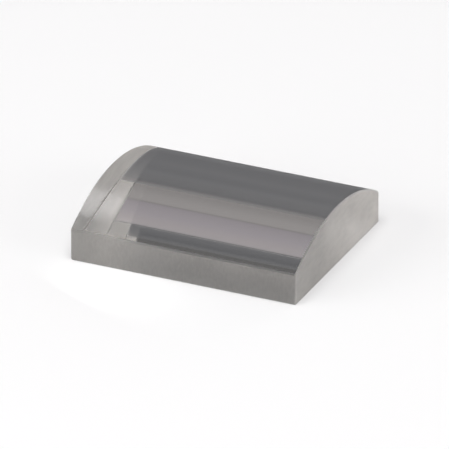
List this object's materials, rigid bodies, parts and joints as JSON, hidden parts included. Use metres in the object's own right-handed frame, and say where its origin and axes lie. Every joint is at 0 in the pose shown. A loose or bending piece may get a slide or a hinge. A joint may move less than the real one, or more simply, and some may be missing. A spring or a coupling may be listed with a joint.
{
  "type": "cylindrical lens",
  "caption": "Rectangular plano-convex cylindrical lens in clear glass with fine-ground sides and narrow protective bevels; focuses light to a line.",
  "frame": {"origin": "centre of the flat (plano) face", "axes": "+Z out of the convex face, X along the cylinder axis (the lens has no power along it), Y across the curve"},
  "size_m": [0.03, 0.025, 0.0077],
  "materials": {
    "optical_glass": "polished convex and plano faces, fine-ground sides, ends and bevels"
  },
  "bodies": {
    "root": {"cylindrical_lens": "optical_glass"}
  },
  "joints": []
}
